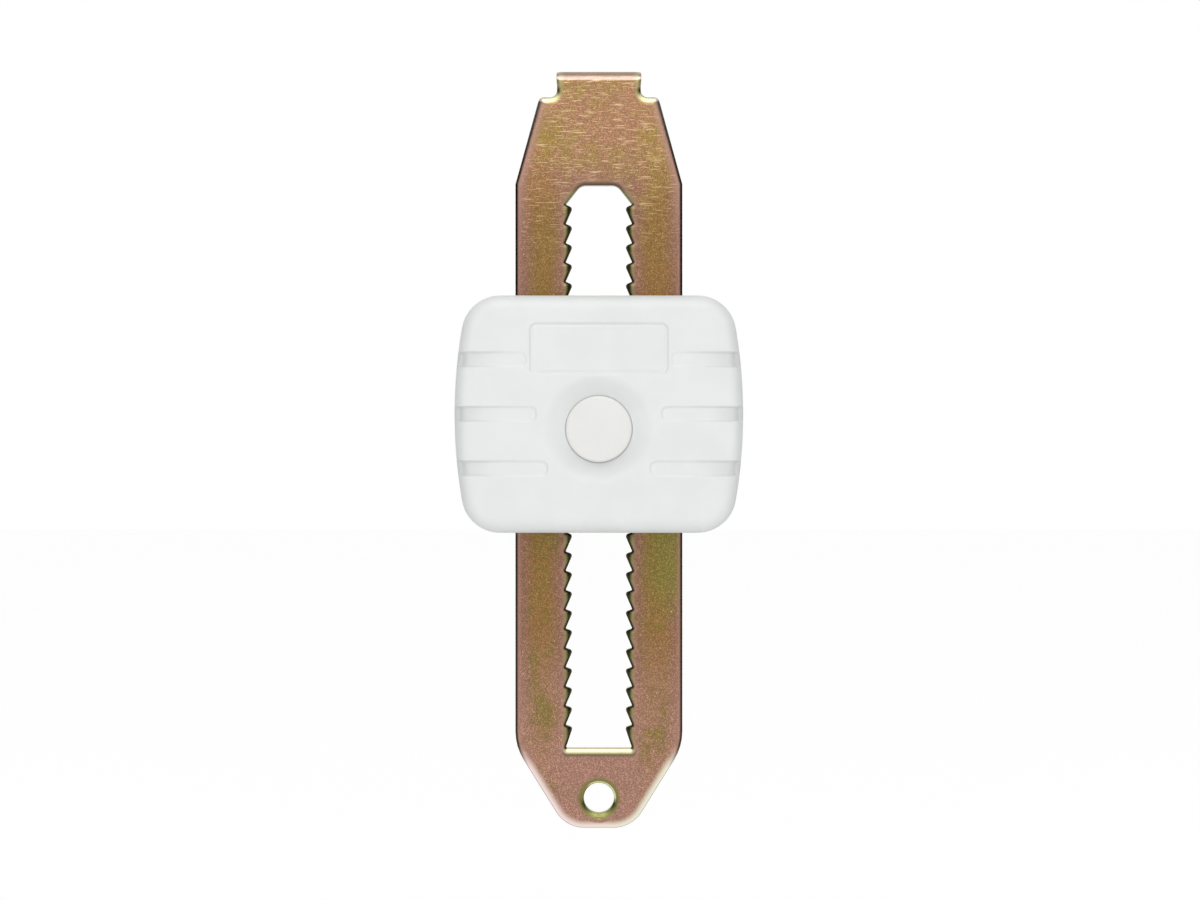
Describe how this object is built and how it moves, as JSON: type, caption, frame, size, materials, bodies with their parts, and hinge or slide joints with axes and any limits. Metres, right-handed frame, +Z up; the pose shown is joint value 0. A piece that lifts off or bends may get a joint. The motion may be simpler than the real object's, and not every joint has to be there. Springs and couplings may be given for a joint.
{
  "type": "portable door lock",
  "caption": "Portable door lock: a hooked steel bar with a saw-toothed slot, and a white case that slides up the bar, ratchets on its teeth and lets go when its round button is pressed.",
  "frame": {"origin": "the middle of the hook's flat underside, the face that pulls on the strike plate", "axes": "+Z runs up the bar to the hook, +Y runs from the bar back along the hook into the strike plate, -Y faces the user with the button, +X is the user's right"},
  "size_m": [0.0514, 0.0217, 0.1376],
  "materials": {
    "plated_steel": "yellow passivated zinc on stamped steel, satin with a fine grain",
    "case_white": "moulded white plastic with a fine satin texture",
    "button_white": "moulded white plastic, a little warmer and smoother than the case",
    "bare_steel": "stamped and hardened steel",
    "zinc_steel": "bright zinc"
  },
  "bodies": {
    "bar": {"locking_bar": "plated_steel"},
    "slider": {"front_shell": "case_white", "rear_cover": "case_white", "pawl_guide_plate": "bare_steel", "upper_guide_screw": "zinc_steel", "lower_guide_screw": "zinc_steel", "upper_pawl_spring": "zinc_steel", "lower_pawl_spring": "zinc_steel", "case_screw_1": "zinc_steel", "case_screw_2": "zinc_steel", "case_screw_3": "zinc_steel", "case_screw_4": "zinc_steel"},
    "button": {"push_button": "button_white"},
    "pawl_left": {"left_pawl": "bare_steel"},
    "pawl_right": {"right_pawl": "bare_steel"}
  },
  "joints": [
    {"name": "slider_slide", "type": "slide", "parent": "bar", "child": "slider", "axis": [0, 0, 1], "range_m": [-0.049, 0.035]},
    {"name": "button_press", "type": "slide", "parent": "slider", "child": "button", "axis": [0, 1, 0], "range_m": [-0.00135, 0.0006], "stiffness_N_per_m": 800, "springref_m": -0.005, "deforming": ["upper_pawl_spring", "lower_pawl_spring"]},
    {"name": "left_pawl_slide", "type": "slide", "parent": "slider", "child": "pawl_left", "axis": [1, 0, 0], "range_m": [-0.00135, 0.0006]},
    {"name": "right_pawl_slide", "type": "slide", "parent": "slider", "child": "pawl_right", "axis": [-1, 0, 0], "range_m": [-0.00135, 0.0006]}
  ],
  "couplings": [
    {"joint": "left_pawl_slide", "follows": "button_press", "ratio": 1},
    {"joint": "right_pawl_slide", "follows": "button_press", "ratio": 1}
  ]
}
